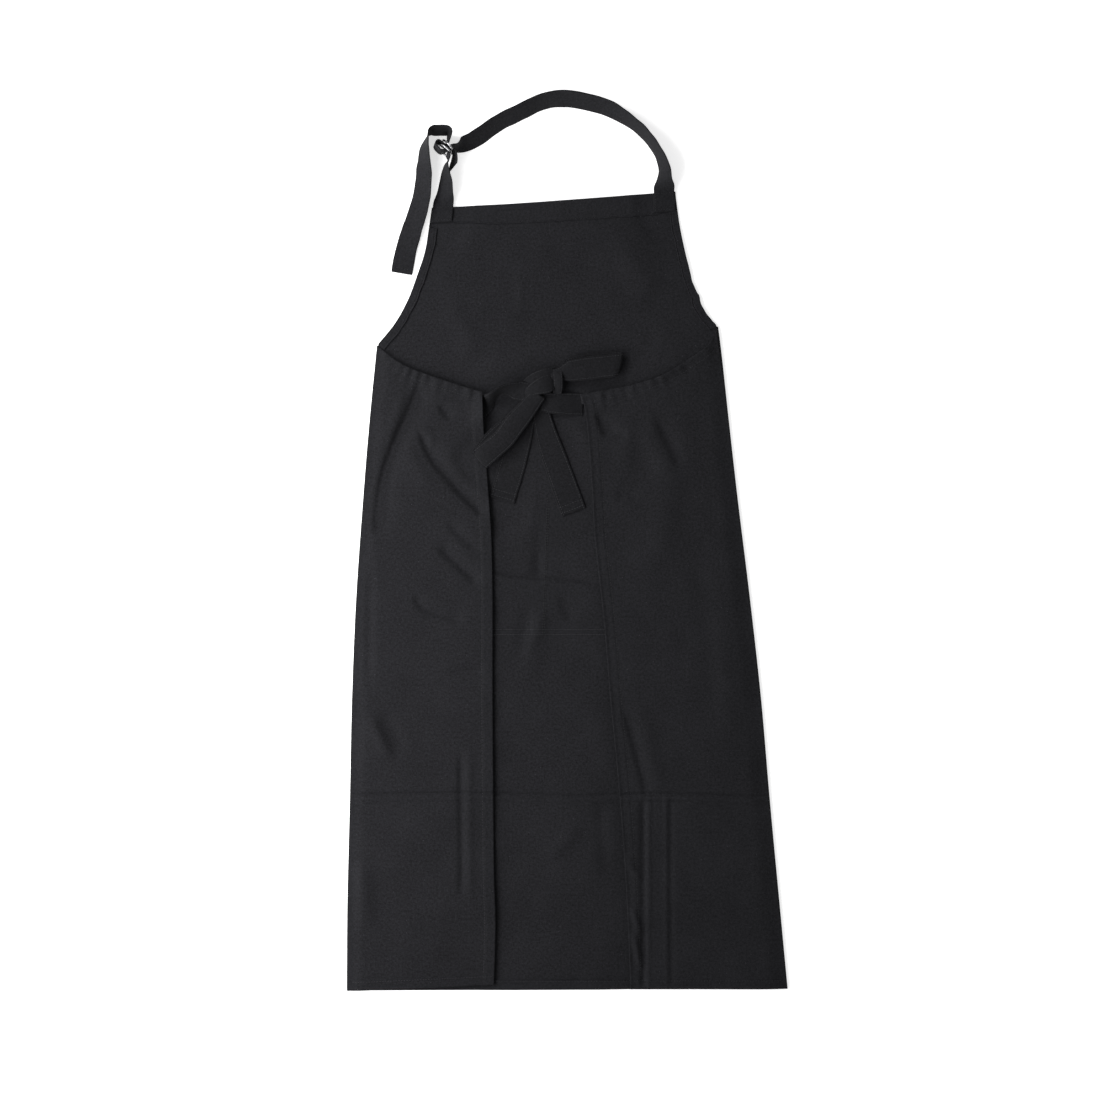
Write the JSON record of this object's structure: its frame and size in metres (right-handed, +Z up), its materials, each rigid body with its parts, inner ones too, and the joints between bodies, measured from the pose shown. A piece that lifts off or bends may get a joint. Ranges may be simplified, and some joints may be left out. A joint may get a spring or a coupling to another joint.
{
  "type": "bib apron",
  "caption": "Full-length twill bib apron lying flat, side panels folded behind and tied in a bow, adjustable neck strap on two D-rings.",
  "frame": {"origin": "centre of the bounding box on the table that the apron lies on", "axes": "+Y from the hem towards the neck strap, +Z up from the table through the layers, +X to the right seen from above"},
  "size_m": [0.5374, 1.0951, 0.0322],
  "materials": {
    "apron_cloth": "black cotton twill",
    "strap_cloth": "black cotton twill, folded and stitched",
    "tie_cloth": "black cotton twill, folded and stitched",
    "thread": "black polyester thread",
    "ring_metal": "polished nickel-plated wire"
  },
  "bodies": {
    "apron": {"front_panel": "apron_cloth", "bib_top_hem": "apron_cloth", "left_armhole_hem": "apron_cloth", "right_armhole_hem": "apron_cloth", "front_bottom_hem": "apron_cloth", "left_fold_upper": "apron_cloth", "left_fold_middle": "apron_cloth", "left_fold_lower": "apron_cloth", "right_fold_upper": "apron_cloth", "right_fold_middle": "apron_cloth", "right_fold_lower": "apron_cloth", "pocket_panel": "apron_cloth", "pocket_top_hem": "apron_cloth", "pocket_bottom_turning": "apron_cloth", "pocket_left_turning": "apron_cloth", "pocket_right_turning": "apron_cloth", "pocket_divider_seam": "thread", "ring_strap_end": "strap_cloth", "neck_strap_end": "strap_cloth"},
    "neck_loop": {"neck_strap": "strap_cloth", "ring_strap": "strap_cloth"},
    "inner_ring": {"inner_d_ring": "ring_metal"},
    "outer_ring": {"outer_d_ring": "ring_metal"},
    "strap_tail": {"neck_strap_tail": "strap_cloth"},
    "left_flap": {"left_flap_panel": "apron_cloth", "left_flap_top_hem": "apron_cloth", "left_flap_side_hem": "apron_cloth", "left_flap_bottom_hem": "apron_cloth", "left_tie_end": "tie_cloth"},
    "right_flap": {"right_flap_panel": "apron_cloth", "right_flap_top_hem": "apron_cloth", "right_flap_side_hem": "apron_cloth", "right_flap_bottom_hem": "apron_cloth", "right_tie_end": "tie_cloth"},
    "bow": {"left_tie_run": "tie_cloth", "bow_knot": "tie_cloth", "right_tie_run": "tie_cloth"},
    "upper_loop": {"upper_bow_loop": "tie_cloth"},
    "lower_loop": {"lower_bow_loop": "tie_cloth"},
    "left_tail": {"left_tie_tail": "tie_cloth"},
    "right_tail": {"right_tie_tail": "tie_cloth"}
  },
  "joints": [
    {"name": "neck_loop_fold", "type": "hinge", "parent": "apron", "child": "neck_loop", "pos_m": [-0.0165, 0.41715, 0.0041], "axis": [0.9977, 0.0679, 0], "range_deg": [0, 120]},
    {"name": "strap_tail_fold", "type": "hinge", "parent": "neck_loop", "child": "strap_tail", "pos_m": [-0.16, 0.502, 0.013], "axis": [0.9977, 0.0679, 0], "range_deg": [-120, 0]},
    {"name": "inner_ring_swing", "type": "hinge", "parent": "neck_loop", "child": "inner_ring", "pos_m": [-0.14083, 0.47278, 0.01617], "axis": [0.127, 0.1184, 0.9848], "range_deg": [-4, 4]},
    {"name": "outer_ring_swing", "type": "hinge", "parent": "neck_loop", "child": "outer_ring", "pos_m": [-0.14357, 0.47022, 0.01683], "axis": [0.127, 0.1184, 0.9848], "range_deg": [-4, 4]},
    {"name": "left_flap_lift", "type": "hinge", "parent": "apron", "child": "left_flap", "pos_m": [-0.23095, 0.165, 0.00425], "axis": [-0.0466, -0.9989, 0], "range_deg": [0, 12]},
    {"name": "right_flap_lift", "type": "hinge", "parent": "apron", "child": "right_flap", "pos_m": [0.18969, 0.165, 0.00425], "axis": [-0.1044, 0.9945, 0], "range_deg": [0, 8.87]},
    {"name": "bow_level", "type": "hinge", "parent": "left_flap", "child": "bow", "pos_m": [-0.102, 0.165, 0.0024], "axis": [-0.0466, -0.9989, 0], "range_deg": [-12, 0]},
    {"name": "upper_loop_lift", "type": "hinge", "parent": "bow", "child": "upper_loop", "pos_m": [-0.0095, 0.2045, 0.0126], "axis": [0.1392, -0.9903, 0], "range_deg": [0, 35]},
    {"name": "lower_loop_lift", "type": "hinge", "parent": "bow", "child": "lower_loop", "pos_m": [-0.041, 0.1715, 0.012], "axis": [-0.7431, 0.6691, 0], "range_deg": [0, 35]},
    {"name": "left_tail_swing", "type": "hinge", "parent": "bow", "child": "left_tail", "pos_m": [-0.044, 0.176, 0.003], "axis": [0, 0, 1], "range_deg": [-6, 3]},
    {"name": "right_tail_swing", "type": "hinge", "parent": "bow", "child": "right_tail", "pos_m": [-0.036, 0.177, 0.0048], "axis": [0, 0, 1], "range_deg": [-4, 3]}
  ],
  "couplings": [
    {"joint": "strap_tail_fold", "follows": "neck_loop_fold", "ratio": -1},
    {"joint": "outer_ring_swing", "follows": "inner_ring_swing", "ratio": 1},
    {"joint": "right_flap_lift", "follows": "left_flap_lift", "ratio": 0.7382},
    {"joint": "bow_level", "follows": "left_flap_lift", "ratio": -1}
  ]
}
